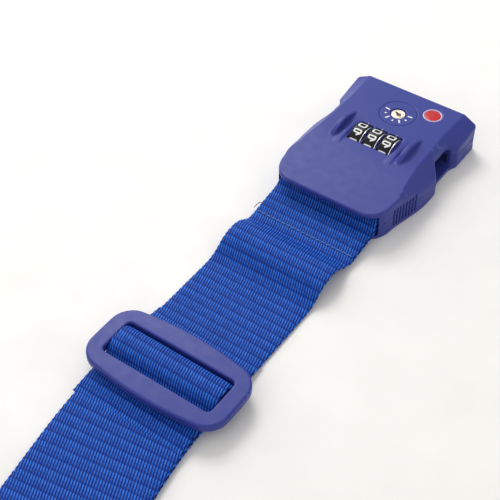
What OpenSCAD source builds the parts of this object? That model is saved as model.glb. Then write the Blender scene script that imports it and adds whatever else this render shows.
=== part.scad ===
// Luggage strap: combination buckle, woven webbing, slide adjuster and plug.
// Origin: centre of the lock's flat back. +Y runs to the lock's nose, +Z is up.

/* [Webbing] */
// Width of the webbing
web_w = 50; // [48:0.5:50]
// Thickness of the webbing
web_t = 1.4; // [1.2:0.1:1.5]
// Height of the wave that the webbing keeps near the lock
crease_h = 6.8; // [5:0.2:7]

/* [Lock] */
// Length of the lock
lock_len = 80; // [80:1:84]
// Height of the lock's back half
lock_h = 17; // [16.6:0.1:17.4]
// Half the width of the lock across its tail
tail_hw = 27.5; // [27.4:0.1:28]
// How far the sides bulge beyond the tail
bulge = 4.8; // [4:0.1:5]
// Wall thickness of the covers
wall = 1.8; // [1.6:0.1:2]

/* [Dials] */
// Distance between neighbouring dials
dial_pitch = 7.4; // [7.35:0.05:7.9]
// Radius of each dial
dial_r = 8.4; // [8.2:0.1:8.5]
// Width of each dial
dial_w = 5.6; // [5.4:0.1:5.8]

/* [Key cylinder] */
// Radius of the key cylinder
cyl_r = 3.3; // [3.1:0.1:3.4]
// Radius of the plate around the cylinder
bezel_r = 8.5; // [8:0.1:8.6]

/* [Adjuster] */
// Width of the adjuster across the strap
adj_w = 64; // [62:0.5:66]
// Length of the adjuster along the strap
adj_len = 35; // [34:0.5:36]
// Thickness of the adjuster's frame
adj_t = 4.2; // [3.8:0.1:4.4]
// Distance from the lock's centre to the adjuster's bar
adj_y = -146.5; // [-148:0.5:-146]

/* [Plug] */
// Width of the plug across the strap
plug_w = 63; // [62:0.5:64]
// Thickness of the plug
plug_t = 9; // [8.6:0.1:9.4]

/* [Hank] */
// Length of each folded run
run_len = 170; // [160:1:180]

/* [Hidden] */

blue = [0.29, 0.31, 0.63];
web_blue = [0.08, 0.27, 0.75];
thread_blue = [0.1, 0.22, 0.6];
eps = 0.01;
gap = 0.3;                      // air between pieces that move past each other
fit = 0.05;                     // radial play of a shaft in its bore

// Lock, side view.
tail_y = -lock_len / 2;
nose_y = lock_len / 2;
part_z = 7.2;                   // plane where the two covers meet
tail_drop = 3;                  // how far the top falls towards the tail
tail_r = 10;                    // plan radius of the tail's corners
floor_t = 2.2;
notch = 5.1;                    // depth of the finger notches in the sides
sill = 2.4;                     // and of the floor plate under them
channel_top = 8;                // roof of the space that the plug enters
channel_hw = 25.4;
tongue_hw = 7.5;

// Webbing's steel pin.
pin_r = 1.75;
pin_y = -31.5;
pin_z = part_z;
pin_hl = 26.6;
tail_slot_y = -27.4;            // end of the webbing's chamber
tail_slot_hw = web_w / 2 + 0.4;

// Dials.
dial_y = 2;
dial_z = 11.1;
window_w = 6.5;
window_r = 8.65;                // the window follows the dial's round
sleeve_r = 3.9;
shaft_r = 1.5;
shaft_hl = 12.7;
rib_x = 11.5;                   // inner face of the ribs that hold the shaft
rib_t = 1.3;
rim_t = 0.35;                   // bright rim on the right of each dial
rim_r = 8;
fin_x = 17.3;
fin_w = 3.2;
fin_len = 16;
fin_h = 3;

// Key cylinder.
cyl_y = 22.8;
cyl_top = lock_h - 0.3;
cyl_bottom = 9.9;
stem_r = 1.5;
cam_z = 8.9;
cam_t = 0.9;
cam_reach = 3.3;                // centre of the cam's round tip
cam_tip_r = 1.2;
cam_hub_r = 2.4;
clip_z = 8.2;
clip_t = 0.6;
bezel_t = 0.8;

// Locking plate, a bridge in front of the cylinder with two legs beside the dials.
plate_z = 8.9;
plate_t = 1;
plate_front = 20.2;
bridge_l = 6;
leg_in = 13;
leg_out = 16.4;
leg_back = -9;
stop_z = 3.2;
stop_l = 5;
plate_travel = 3.6;

// Screws, two beside the webbing's chamber and two beside the tongue.
screw_xy = [[-21.6, -23.4], [21.6, -23.4], [-11.5, 30], [11.5, 30]];
screw_r = 1.3;
screw_head_r = 2.6;
screw_head_z = 0.4;
screw_head_t = 1.4;
screw_top = 12;
boss_r = 3;

// Reset button in the back.
reset_x = -16;
reset_y = -16;
reset_r = 2.2;
reset_z = 0.4;
reset_h = 5;
reset_travel = 1.5;
reset_spring_top = 12.4;
reset_collar = 2.7;

badge_x = 13.5;
badge_y = 30.5;
badge_r = 4.5;
badge_t = 0.9;

// Strap's route.
ply = web_t + 0.1;              // pitch of webbing lying on webbing
low_z = web_t / 2;              // middle of the ply on the floor
stitch_y = -52;
dip_z = 2.35;                   // the running ply just past the sewn end
dip_y = -58;
crest_y = -71;
wave_end_y = -91;
tail_end_y = -62;
lock_end_y = -64;
veer_y = -167;                  // from here the strap veers to the hank
veer_end_y = -236;
return_y = -166;                // where the second ply starts, under the arch
hank_front = -252;
hank_back = hank_front - run_len;
hank_z = 1.3;
hank_x = 9;
run_count = 4;
run_pitch = 2 * ply + 0.5;
hank_top = hank_z + run_count * run_pitch;

// Adjuster.
adj_z = 5.4;
adj_border = 9;
adj_side = 5.5;
bar_hw = 3;
bar_t = 2.6;
bar_z = 4.9;
bar_loop_out = web_t + 0.15;

// Plug, with its bar at the rear.
plug_y = -338;
plug_z = hank_top + gap + plug_t / 2;
plug_bar_r = 2;
plug_cheek_in = web_w / 2 + 0.8;
plug_face = plug_y - 20;
plug_back = plug_y - 5;
tongue_len = 25;
tongue_t = 4;
arm_x = 20;
arm_hw = 2.5;
arm_t = 5;
arm_len = 32;
barb_start = 18;
barb_out = 6;
arm_root_y = plug_face + 1.5;

band_y = -296;
band_w = 20;
band_t = 1.1;

function unit(v) = v / norm(v);
function ramp(y, y0, y1) = let (t = max(0, min(1, (y - y0) / (y1 - y0)))) t * t * (3 - 2 * t);
function arc(c, r, a0, a1, n = 10) =
    [for (i = [0:n]) let (a = a0 + (a1 - a0) * i / n) c + r * [cos(a), sin(a)]];
function reversed(p) = [for (i = [len(p) - 1:-1:0]) p[i]];
function heading(p, i) = unit(p[min(i + 1, len(p) - 1)] - p[max(i - 1, 0)]);
function beside(p, d) = [for (i = [0:len(p) - 1]) let (h = heading(p, i)) p[i] + d * [-h[1], h[0]]];

// Half-width of the lock in plan, pulled in by inset.
function side_x(y, cut = notch) =
    tail_hw + bulge * ramp(y, -34, -4) - cut * ramp(y, 1, 9) + (cut - 0.8) * ramp(y, 19.5, 26);
function half_plan(inset, cut) = concat(
    arc([tail_hw - tail_r, tail_y + tail_r], tail_r - inset, -90, 0, 8),
    [for (y = [tail_y + tail_r + 2:2:nose_y - 2]) [side_x(y, cut) - inset, y]],
    [[side_x(nose_y, cut) - inset, nose_y - inset]]);
function plan(inset, cut = notch) =
    concat(half_plan(inset, cut), [for (p = reversed(half_plan(inset, cut))) [-p[0], p[1]]]);
// Height of the lock's top along its length, lowered by inset.
function top_z(y) = lock_h - tail_drop * ramp(-y, 4, 44);
function top_line(inset) = [for (y = [tail_y - 4:4:nose_y + 4]) [y, top_z(y) - inset]];

// A solid whose side view is the outline p of [y, z] points, w wide in x.
module side_prism(p, w) {
    rotate([90, 0, 90]) linear_extrude(w, center = true) polygon(p);
}

// A webbing ply that follows the path p of [y, z] points.
module webbing(p, w = web_w) {
    side_prism(concat(beside(p, web_t / 2), reversed(beside(p, -web_t / 2))), w);
}

module x_rod(r, y, z, hl) {
    translate([-hl, y, z]) rotate([0, 90, 0]) cylinder(r = r, h = 2 * hl, $fn = 48);
}

module each_side() {
    children();
    mirror([1, 0, 0]) children();
}

module box_at(x0, x1, y0, y1, z0, z1) {
    translate([x0, y0, z0]) cube([x1 - x0, y1 - y0, z1 - z0]);
}

// ---- lock housing ----

// Stations along the lock where the sloping shoulder is set: [y, inner edge, height at the wall].
shoulder = [[tail_y - 2, 28.5, 13.5], [-14, 26, 11], [0, 25, 9], [22, 25, 10.5], [nose_y + 2, 25, 13]];
shoulder_out = 36;

// Corners of the wedge that the shoulder takes off at one station.
function shoulder_section(s) = let (fall = (lock_h - s[2]) / (side_x(s[0]) - s[1])) [
    [s[1], s[0], lock_h + eps], [shoulder_out, s[0], lock_h - fall * (shoulder_out - s[1])],
    [shoulder_out, s[0], lock_h + 4], [s[1], s[0], lock_h + 4]];

// Closed skin over four-cornered sections, its walls split into triangles.
module sections_skin(sections) {
    last = 4 * (len(sections) - 1);
    polyhedron([for (s = sections) each s], concat(
        [[0, 2, 1], [0, 3, 2], [last, last + 1, last + 2], [last, last + 2, last + 3]],
        [for (i = [0:4:last - 4], k = [0:3]) let (m = (k + 1) % 4) each
            [[i + k, i + m, i + 4 + k], [i + m, i + 4 + m, i + 4 + k]]]));
}

module shoulder_cuts() {
    each_side() sections_skin([for (s = shoulder) shoulder_section(s)]);
}

module lock_block(inset) {
    intersection() {
        translate([0, 0, inset]) linear_extrude(lock_h) polygon(plan(inset));
        side_prism(concat([[tail_y - 4, 0]], top_line(inset), [[nose_y + 4, 0]]), 80);
    }
}

module side_openings() {
    each_side() box_at(20, 36, 9.6, 20.4, floor_t, 10);
}

module webbing_chamber() {
    box_at(-tail_slot_hw, tail_slot_hw, tail_y - 1, tail_slot_y, 1.4, 12);
}

module pin_socket() {
    x_rod(pin_r + fit, pin_y, pin_z, pin_hl + 0.1);
}

module plug_channel() {
    box_at(-channel_hw, channel_hw, 12, nose_y + 1, floor_t, channel_top);
}

// Bosses round the screws up to z1, or to just under the roof over each.
module screw_bosses(z0, z1) {
    for (p = screw_xy) translate([p[0], p[1], z0])
        cylinder(r = boss_r, h = (is_undef(z1) ? top_z(p[1]) - 1 : z1) - z0, $fn = 48);
}

module grip_grooves() {
    each_side() for (i = [0:7])
        translate([side_x(-27 + 1.9 * i) + 0.3, -27 + 1.9 * i, 1.5]) cylinder(r = 0.55, h = 9, $fn = 16);
}

module lower_cover() {
    color(blue) difference() {
        union() {
            difference() {
                union() {
                    intersection() {
                        lock_block(0);
                        box_at(-40, 40, tail_y - 1, nose_y + 1, -1, part_z);
                    }
                    linear_extrude(floor_t) polygon(plan(0, sill));
                }
                intersection() {
                    lock_block(wall);
                    box_at(-40, 40, tail_slot_y + wall, nose_y - 3, floor_t, part_z + 1);
                }
            }
            screw_bosses(floor_t - eps, part_z);
        }
        webbing_chamber();
        plug_channel_cut();
        side_openings();
        pin_socket();
        grip_grooves();
        for (p = screw_xy) translate([p[0], p[1], -1]) {
            cylinder(r = screw_r + 0.2, h = part_z + 2, $fn = 32);
            cylinder(r = screw_head_r + 0.2, h = 1 + screw_head_z + screw_head_t, $fn = 32);
        }
        translate([reset_x, reset_y, -1]) cylinder(r = reset_r + fit, h = floor_t + 2, $fn = 48);
    }
}

// The plug's way in, kept clear of the two bosses that stand in it.
module plug_channel_cut() {
    difference() {
        plug_channel();
        screw_bosses(0, channel_top + 1);
    }
}

module fins() {
    each_side() translate([fin_x, dial_y, top_z(dial_y) - 0.6]) rotate([90, 0, 90])
        linear_extrude(fin_w, center = true)
            polygon(concat([[-fin_len / 2, 0]], [for (t = [0:0.1:1]) [(t - 0.5) * fin_len, 0.6 + fin_h * sin(180 * t)]],
                           [[fin_len / 2, 0]]));
}

module upper_cover() {
    color(blue) difference() {
        union() {
            difference() {
                intersection() {
                    lock_block(0);
                    box_at(-40, 40, tail_y - 1, nose_y + 1, part_z, lock_h + 1);
                }
                intersection() {
                    lock_block(wall);
                    box_at(-24, 24, tail_slot_y + wall, nose_y - 3, part_z - 1, lock_h);
                }
                shoulder_cuts();
            }
            fins();
            screw_bosses(part_z);
            translate([0, cyl_y, cyl_bottom]) cylinder(r = cyl_r + 2, h = lock_h - 1 - cyl_bottom, $fn = 64);
            each_side() box_at(rib_x, rib_x + rib_t, dial_y - 4, dial_y + 4, part_z + 2, lock_h - 1);
        }
        webbing_chamber();
        plug_channel_cut();
        side_openings();
        pin_socket();
        grip_grooves();
        for (p = screw_xy) translate([p[0], p[1], 0]) cylinder(r = screw_r + 0.02, h = screw_top + 1, $fn = 32);
        for (i = [-1:1]) x_rod_at(i, window_r, window_w / 2);
        x_rod(shaft_r + fit, dial_y, dial_z, shaft_hl + 0.1);
        translate([0, cyl_y, 0]) cylinder(r = cyl_r + fit, h = lock_h + 1, $fn = 64);
        translate([0, cyl_y, lock_h - bezel_t]) cylinder(r = bezel_r + fit, h = 2, $fn = 96);
        translate([badge_x, badge_y, lock_h - badge_t]) cylinder(r = badge_r + fit, h = 2, $fn = 64);
    }
}

module housing_screws() {
    color("silver") for (p = screw_xy) translate([p[0], p[1], screw_head_z]) difference() {
        union() {
            cylinder(r = screw_head_r, h = screw_head_t, $fn = 32);
            cylinder(r = screw_r, h = screw_top, $fn = 32);
        }
        for (a = [0, 90]) rotate(a) translate([0, 0, 0.3]) cube([3, 0.6, 0.8], center = true);
    }
}

module webbing_pin() {
    color("silver") x_rod(pin_r, pin_y, pin_z, pin_hl);
}

// ---- dials ----

module dial(i) {
    color([0.05, 0.05, 0.06]) difference() {
        x_rod_at(i, dial_r, dial_w / 2);
        x_rod_at(i, sleeve_r + fit, dial_w);
        for (k = [0:9]) translate([i * dial_pitch, dial_y, dial_z]) rotate([36 * k + 18, 0, 0])
            translate([0, 0, dial_r]) cube([dial_w + 1, 1.2, 0.8], center = true);
    }
}

module x_rod_at(i, r, hl) {
    translate([i * dial_pitch - hl, dial_y, dial_z]) rotate([0, 90, 0]) cylinder(r = r, h = 2 * hl, $fn = 80);
}

module dial_sleeve(i) {
    color("silver") difference() {
        union() {
            x_rod_at(i, sleeve_r, dial_pitch / 2 - 0.2);
            translate([dial_w / 2 + 0.05 + rim_t / 2, 0, 0]) x_rod_at(i, rim_r, rim_t / 2);
        }
        x_rod_at(i, shaft_r + fit, dial_pitch);
        translate([i * dial_pitch - dial_pitch / 2, dial_y - 0.8, dial_z - sleeve_r - 0.4])
            cube([1.1, 1.6, 1.4]);
    }
}

module dial_shaft() {
    color("silver") x_rod(shaft_r, dial_y, dial_z, shaft_hl);
}

module detent_spring() {
    color("silver") {
        box_at(-11, 11, dial_y - 10.4, dial_y - 7, floor_t, floor_t + 0.35);
        for (i = [-1:1]) box_at(i * dial_pitch - 2, i * dial_pitch + 2, dial_y - 8, dial_y + 2, floor_t, floor_t + 0.35);
    }
}

// ---- lock works ----

module locking_plate() {
    color("silver") {
        box_at(-leg_out, leg_out, plate_front - bridge_l, plate_front, plate_z, plate_z + plate_t);
        each_side() box_at(leg_in, leg_out, leg_back, plate_front, plate_z, plate_z + plate_t);
        each_side() box_at(leg_in, leg_out, plate_front - bridge_l - 1, plate_front - bridge_l - 1 + stop_l,
                           stop_z, plate_z + eps);
    }
}

// Coil of round wire along Z, built by sweeping a square ring of points.
module coil(r, wire, h, turns) {
    steps = turns * 16;
    side = [[-1, -1], [1, -1], [1, 1], [-1, 1]];
    pts = [for (i = [0:steps], s = side)
        let (a = 360 * turns * i / steps, q = r + s[0] * wire / 2)
        [q * cos(a), q * sin(a), wire / 2 + (h - wire) * i / steps + s[1] * wire / 2]];
    walls = [for (i = [0:steps - 1], k = [0:3])
        [4 * i + k, 4 * (i + 1) + k, 4 * (i + 1) + (k + 1) % 4, 4 * i + (k + 1) % 4]];
    polyhedron(pts, concat([[0, 1, 2, 3]], walls, [[for (k = [3:-1:0]) 4 * steps + k]]));
}

module locking_plate_spring() {
    color("silver") translate([(leg_in + leg_out) / 2, leg_back - plate_travel - 0.3, plate_z + plate_t / 2])
        rotate([90, 0, 0]) coil(1.3, 0.4, 5, 5);
}

module key_bezel() {
    color(blue) translate([0, cyl_y, lock_h - bezel_t]) difference() {
        cylinder(r = bezel_r, h = bezel_t, $fn = 96);
        translate([0, 0, -1]) cylinder(r = cyl_r + 0.15, h = 3, $fn = 64);
    }
}

module key_cylinder() {
    color([0.85, 0.83, 0.75]) translate([0, cyl_y, 0]) difference() {
        union() {
            translate([0, 0, cyl_bottom]) cylinder(r = cyl_r, h = cyl_top - cyl_bottom, $fn = 64);
            translate([0, 0, clip_z]) cylinder(r = stem_r, h = cyl_bottom - clip_z + eps, $fn = 32);
        }
        translate([0, 0, cyl_top - 2.5]) {
            translate([0, 0, 2]) cube([1.1, 4.2, 4], center = true);
            cylinder(r = 0.9, h = 4, $fn = 24);
        }
    }
}

module cylinder_cam() {
    color("silver") translate([0, cyl_y, cam_z]) difference() {
        linear_extrude(cam_t) hull() {
            circle(r = cam_hub_r, $fn = 32);
            translate([cam_reach, 0]) circle(r = cam_tip_r, $fn = 32);
        }
        translate([0, 0, -1]) cylinder(r = stem_r + 0.01, h = 3, $fn = 32);
    }
}

module cylinder_clip() {
    color("silver") translate([0, cyl_y, clip_z]) difference() {
        cylinder(r = 2.5, h = clip_t, $fn = 32);
        translate([0, 0, -1]) cylinder(r = stem_r + 0.01, h = 3, $fn = 32);
        translate([-0.9, 0, -1]) cube([1.8, 4, 3]);
    }
}

module reset_button() {
    color([0.15, 0.15, 0.17]) translate([reset_x, reset_y, 0]) {
        translate([0, 0, reset_z]) cylinder(r = reset_r, h = reset_h, $fn = 48);
        translate([0, 0, floor_t + gap]) cylinder(r = reset_collar, h = 0.8, $fn = 48);
    }
}

module reset_spring() {
    color("silver") translate([reset_x, reset_y, reset_z + reset_h])
        coil(1.5, 0.4, reset_spring_top - reset_z - reset_h, 6);
}

module badge_inlay() {
    color([0.8, 0.1, 0.12]) translate([badge_x, badge_y, lock_h - badge_t])
        cylinder(r = badge_r, h = badge_t + 0.1, $fn = 64);
}

// ---- webbing at the lock ----

loop_r = pin_r + 0.15 + web_t / 2;      // middle of the ply round the pin

// Height of the running ply's middle between the sewn end and the flat.
function wave_z(y) = y > crest_y
    ? dip_z + (low_z + crease_h - dip_z) * ramp(-y, -dip_y, -crest_y)
    : low_z + crease_h * ramp(y, wave_end_y, crest_y);

module webbing_lock_end() {
    color(web_blue) webbing(concat(
        [[tail_end_y, low_z], [-57, low_z + 0.1], [stitch_y, low_z + 0.9], [-46, 2.2], [-40, 3.1],
         [pin_y - 2.5, pin_z - loop_r + 0.35]],
        arc([pin_y, pin_z], loop_r, -90, 90, 14),
        [[pin_y - 2.5, pin_z + loop_r - 0.35], [-37, 7.4], [-41, 5.2], [-46, 4.1], [stitch_y, low_z + 2.5],
         [dip_y, dip_z], [-61, wave_z(-61)], [lock_end_y, wave_z(lock_end_y)]]));
}

// Backstitches that stand proud of the top and bottom plies.
module stitches(y, z, rows, count) {
    pitch = (web_w - 6) / count;
    color(thread_blue) for (r = [0:rows - 1], i = [0:count - 1])
        box_at(-web_w / 2 + 3 + i * pitch, -web_w / 2 + 3 + i * pitch + 0.75 * pitch,
               y - 2 * r - 0.3, y - 2 * r + 0.3, z, z + 0.35);
}

module lock_stitching() {
    stitches(stitch_y, low_z + 2.5 + web_t / 2 - 0.1, 1, 16);
}

// Flat ply on the floor from y0 to veer_end_y, set over to the hank's side past veer_y.
module flat_ply(y0, z) {
    half = web_w / 2;
    translate([0, 0, z - web_t / 2]) linear_extrude(web_t) polygon([
        [-half, y0], [-half, veer_y], [hank_x - half, veer_end_y],
        [hank_x + half, veer_end_y], [half, veer_y], [half, y0]]);
}

// The same ply's last stretch, which climbs to the hank.
module climbing_ply(z) {
    translate([hank_x, 0, 0]) webbing([[veer_end_y, z], [veer_end_y - 5, z], [hank_front, z + hank_z]]);
}

// One ply from the sewn end, over its wave and along the floor to the hank.
module webbing_run() {
    color(web_blue) {
        webbing(concat([for (y = [lock_end_y:-2.25:wave_end_y]) [y, wave_z(y)]], [[-93, low_z], [-96, low_z]]));
        flat_ply(-96, low_z);
        climbing_ply(low_z);
    }
}

module webbing_return() {
    color(web_blue) {
        flat_ply(return_y, low_z + ply);
        climbing_ply(low_z + ply);
    }
}

// ---- adjuster ----

function adj_half(w, l, crown, r) = concat(
    arc([w / 2 - r, l / 2 - crown - r], r, 0, 70, 6),
    [for (x = [w / 2 - r - 3:-4:0.5]) [x, l / 2 - crown * pow(2 * x / w, 2)]]);

function adj_outline(w, l, crown, r) = let (q = adj_half(w, l, crown, r)) concat(
    q, [for (p = reversed(q)) [-p[0], p[1]]], [for (p = q) [-p[0], -p[1]]], [for (p = reversed(q)) [p[0], -p[1]]]);

module adjuster_frame() {
    color(blue) translate([0, adj_y, 0]) {
        difference() {
            translate([0, 0, adj_z]) linear_extrude(adj_t) polygon(adj_outline(adj_w, adj_len, 3.6, 5));
            box_at(-adj_w / 2 + adj_side, adj_w / 2 - adj_side, -adj_len / 2 + adj_border, adj_len / 2 - adj_border, 0, 20);
        }
        intersection() {
            x_rod_flat();
            box_at(-adj_w / 2 + 1, adj_w / 2 - 1, -bar_hw, bar_hw, bar_z, bar_z + bar_t);
        }
    }
}

// The centre bar: a flat strip with round long edges.
module x_rod_flat() {
    side_prism(concat(arc([bar_hw - bar_t / 2, bar_z + bar_t / 2], bar_t / 2, -90, 90),
                      arc([-bar_hw + bar_t / 2, bar_z + bar_t / 2], bar_t / 2, 90, 270)), adj_w - 2);
}

// Running ply: up under the far border, over the bar and down under the near one.
arch_mid = bar_z + bar_t + 0.1 + web_t + 0.1 + web_t / 2;
arch_r = arch_mid - bar_z - bar_t / 2;
module webbing_arch() {
    c = [bar_hw - bar_t / 2, bar_z + bar_t / 2];
    up = arc(c, arch_r, 90, 42, 6);
    far = [[8.2, 4.15], [10.5, 3.3], [14, 2.8], [18, 2.55], [26, low_z + ply + gap - 0.1]];
    near = [[-8.2, 4.15], [-10.5, 3.98], [-14, 3.95], [-26, low_z + 2 * ply + gap - 0.1]];
    color(web_blue) translate([0, adj_y, 0])
        webbing(concat(reversed(near), [for (p = reversed(up)) [-p[0], p[1]]], up, far));
}

// Sewn end of the webbing, closed round the bar.
module webbing_bar_loop() {
    h = bar_t / 2 + 0.1;
    module track(r) {
        side_prism(concat(arc([bar_hw - bar_t / 2, bar_z + bar_t / 2], r, -90, 90),
                          arc([-bar_hw + bar_t / 2, bar_z + bar_t / 2], r, 90, 270)), web_w);
    }
    color(web_blue) translate([0, adj_y, 0]) difference() {
        track(h + web_t);
        scale([1.1, 1, 1]) track(h);
    }
}

module adjuster_stitching() {
    stitches(adj_y - 4, bar_z - 0.1 - web_t - 0.3, 1, 16);
}

// ---- hank and plug ----

module webbing_hank() {
    r = (hank_top - hank_z) / 2;
    color(web_blue) translate([hank_x, 0, 0]) side_prism(concat(
        arc([hank_front - r, hank_z + r], r, -90, 90),
        arc([hank_back + r, hank_z + r], r, 90, 270)), web_w);
}

plug_loop_r = plug_bar_r + 0.3 + web_t / 2;
module webbing_plug_end() {
    z0 = hank_top + 0.1 + low_z;
    color(web_blue) translate([hank_x, 0, 0]) webbing(concat(
        [[hank_front - 14, z0], [-324, z0], [plug_y + 6, plug_z - plug_loop_r + 0.4]],
        arc([plug_y, plug_z], plug_loop_r, 270, 90, 14),
        [[plug_y + 6, plug_z + plug_loop_r - 1.6], [-324, z0 + ply], [hank_front - 14, z0 + ply]]));
}

module plug_stitching() {
    translate([hank_x, 0, 0]) stitches(-326, hank_top + 0.1 + 2 * ply + eps, 1, 16);
}

module hank_band() {
    x1 = web_w / 2 + 0.3;
    z1 = hank_top + 0.2 + 2 * ply;
    color([0.06, 0.12, 0.45]) translate([hank_x, 0, 0]) difference() {
        box_at(-x1 - band_t, x1 + band_t, band_y - band_w / 2, band_y + band_w / 2, 0, z1 + band_t);
        box_at(-x1, x1, band_y - band_w, band_y + band_w, band_t, z1);
    }
}

module plug_body() {
    color(blue) translate([hank_x, 0, plug_z]) difference() {
        union() {
            box_at(-plug_w / 2, plug_w / 2, plug_face, plug_back, -plug_t / 2, plug_t / 2);
            each_side() box_at(plug_cheek_in, plug_w / 2, plug_back - 1, plug_y + 5, -plug_t / 2, plug_t / 2);
            x_rod(plug_bar_r, plug_y, 0, plug_cheek_in + 1);
            box_at(-tongue_hw, tongue_hw, plug_face - tongue_len, plug_face + 1, -tongue_t / 2, tongue_t / 2);
        }
        each_side() translate([arm_x, arm_root_y, -10]) cylinder(r = arm_hw + gap, h = 20, $fn = 48);
        each_side() box_at(arm_x - arm_hw - gap, arm_x + arm_hw + gap, plug_face - 1, arm_root_y, -10, 10);
    }
}

// Springy arm with its barb, for the +X side.
module plug_arm() {
    tip = plug_face - arm_len;
    color(blue) translate([0, 0, plug_z - arm_t / 2]) {
        translate([arm_x, arm_root_y, 0]) cylinder(r = arm_hw, h = arm_t, $fn = 48);
        linear_extrude(arm_t) polygon([
            [arm_x - arm_hw, arm_root_y], [arm_x - arm_hw, tip + 3], [arm_x - 1, tip], [arm_x + 2, tip],
            [arm_x + arm_hw + barb_out, plug_face - barb_start - 3], [arm_x + arm_hw + barb_out, plug_face - barb_start],
            [arm_x + arm_hw, plug_face - barb_start + 1], [arm_x + arm_hw, arm_root_y]]);
    }
}

module plug_arm_left() {
    translate([hank_x, 0, 0]) mirror([1, 0, 0]) plug_arm();
}

module plug_arm_right() {
    translate([hank_x, 0, 0]) plug_arm();
}

lower_cover();
upper_cover();
housing_screws();
webbing_pin();
dial(-1);  // dial_1
dial(0);  // dial_2
dial(1);  // dial_3
dial_sleeve(-1);  // dial_sleeve_1
dial_sleeve(0);  // dial_sleeve_2
dial_sleeve(1);  // dial_sleeve_3
dial_shaft();
detent_spring();
locking_plate();
locking_plate_spring();
key_bezel();
key_cylinder();
cylinder_cam();
cylinder_clip();
reset_button();
reset_spring();
badge_inlay();
webbing_lock_end();
lock_stitching();
webbing_run();
webbing_return();
adjuster_frame();
webbing_arch();
webbing_bar_loop();
adjuster_stitching();
webbing_hank();
webbing_plug_end();
plug_stitching();
hank_band();
plug_body();
plug_arm_left();
plug_arm_right();
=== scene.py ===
"""Luggage strap with a combination buckle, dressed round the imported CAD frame.

Lengths are in millimetres in the frame's axes until a mesh is made: +Y runs to the lock's nose and
+Z is up. Rigid shells are fields (negative inside) that skin() turns into meshes. Webbing is one
closed band swept along its route.
"""
import math

import bpy
import numpy as np
from mathutils import Matrix, Vector


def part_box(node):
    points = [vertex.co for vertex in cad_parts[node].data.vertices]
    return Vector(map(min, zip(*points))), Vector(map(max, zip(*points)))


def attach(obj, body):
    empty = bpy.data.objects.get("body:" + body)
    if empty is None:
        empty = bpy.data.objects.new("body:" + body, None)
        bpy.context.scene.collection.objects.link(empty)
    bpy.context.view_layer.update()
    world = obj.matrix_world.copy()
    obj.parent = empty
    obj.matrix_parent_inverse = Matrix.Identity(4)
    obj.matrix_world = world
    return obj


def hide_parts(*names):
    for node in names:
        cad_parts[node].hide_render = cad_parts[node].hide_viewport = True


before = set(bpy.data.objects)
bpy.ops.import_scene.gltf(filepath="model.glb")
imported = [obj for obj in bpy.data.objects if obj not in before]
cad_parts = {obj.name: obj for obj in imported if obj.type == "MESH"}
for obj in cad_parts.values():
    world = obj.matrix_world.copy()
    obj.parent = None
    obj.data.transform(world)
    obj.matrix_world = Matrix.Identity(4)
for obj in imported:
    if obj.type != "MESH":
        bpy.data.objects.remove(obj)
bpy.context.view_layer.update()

MM = 0.001


def span(node):
    """Lowest and highest corner of a CAD node at rest, in millimetres."""
    low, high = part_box(node)
    return np.array(low) / MM, np.array(high) / MM


def middle(node):
    low, high = span(node)
    return (low + high) / 2


# ---- sizes taken from the frame ----

LOCK_LOW, LOCK_HIGH = span("lower_cover")
TAIL_Y, NOSE_Y = LOCK_LOW[1], LOCK_HIGH[1]
PART_Z = LOCK_HIGH[2]
BEZEL_LOW, BEZEL_HIGH = span("key_bezel")
ROOF = BEZEL_HIGH[2]
BEZEL_R = (BEZEL_HIGH[0] - BEZEL_LOW[0]) / 2
PIN = middle("webbing_pin")
PIN_R = (span("webbing_pin")[1][2] - span("webbing_pin")[0][2]) / 2
PIN_HALF = span("webbing_pin")[1][0]
DIAL_MIDDLES = [middle(f"dial_{i}") for i in (1, 2, 3)]
DIAL_LOW, DIAL_HIGH = span("dial_2")
DIAL_R = (DIAL_HIGH[2] - DIAL_LOW[2]) / 2
DIAL_HALF = (DIAL_HIGH[0] - DIAL_LOW[0]) / 2
DIAL_Y, DIAL_Z = DIAL_MIDDLES[1][1:]
SHAFT_HALF = span("dial_shaft")[1][0]
SHAFT_R = (span("dial_shaft")[1][2] - span("dial_shaft")[0][2]) / 2
KEY = middle("key_cylinder")
KEY_LOW, KEY_HIGH = span("key_cylinder")
KEY_R = (KEY_HIGH[0] - KEY_LOW[0]) / 2
BADGE = middle("badge_inlay")
BADGE_LOW, BADGE_HIGH = span("badge_inlay")
BADGE_R = (BADGE_HIGH[0] - BADGE_LOW[0]) / 2
RESET = middle("reset_button")
ADJ_LOW, ADJ_HIGH = span("adjuster_frame")
ADJ_Y = (ADJ_LOW[1] + ADJ_HIGH[1]) / 2
HANK_LOW, HANK_HIGH = span("webbing_hank")
HANK_X = (HANK_LOW[0] + HANK_HIGH[0]) / 2
BAND_LOW, BAND_HIGH = span("hank_band")
PLUG_LOW, PLUG_HIGH = span("plug_body")
PLUG_Z = (PLUG_LOW[2] + PLUG_HIGH[2]) / 2
RETURN_Y = span("webbing_return")[1][1]
CUT_END_Y = -56.5               # the strap's cut end, under its first run
WEB_HALF = (HANK_HIGH[0] - HANK_LOW[0]) / 2

WEB_T = 1.4                     # thickness of the webbing
PLY = WEB_T + 0.1               # pitch of webbing lying on webbing
ROW = 2.23                      # pitch of the weave along the strap
COLUMN = 1.15                   # and across it
FLAT_Z = WEB_T / 2              # middle of a ply on the floor
STEP = ROW / 4                  # spacing of the points along a band
AIR = 0.05


# ---- fields ----

def ramp(t, start, end):
    s = np.clip((t - start) / (end - start), 0, 1)
    return s * s * (3 - 2 * s)


def both(a, b, r):
    """Intersection of two fields with an edge rounded to radius r."""
    return np.minimum(-r, np.maximum(a, b)) + np.hypot(np.maximum(a + r, 0), np.maximum(b + r, 0))


def either(a, b, r):
    """Union of two fields with an inner corner rounded to radius r."""
    return -both(-a, -b, r)


def without(a, b, r):
    """Field a with b cut out of it, its new edge rounded to radius r."""
    return both(a, -b, r)


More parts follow.
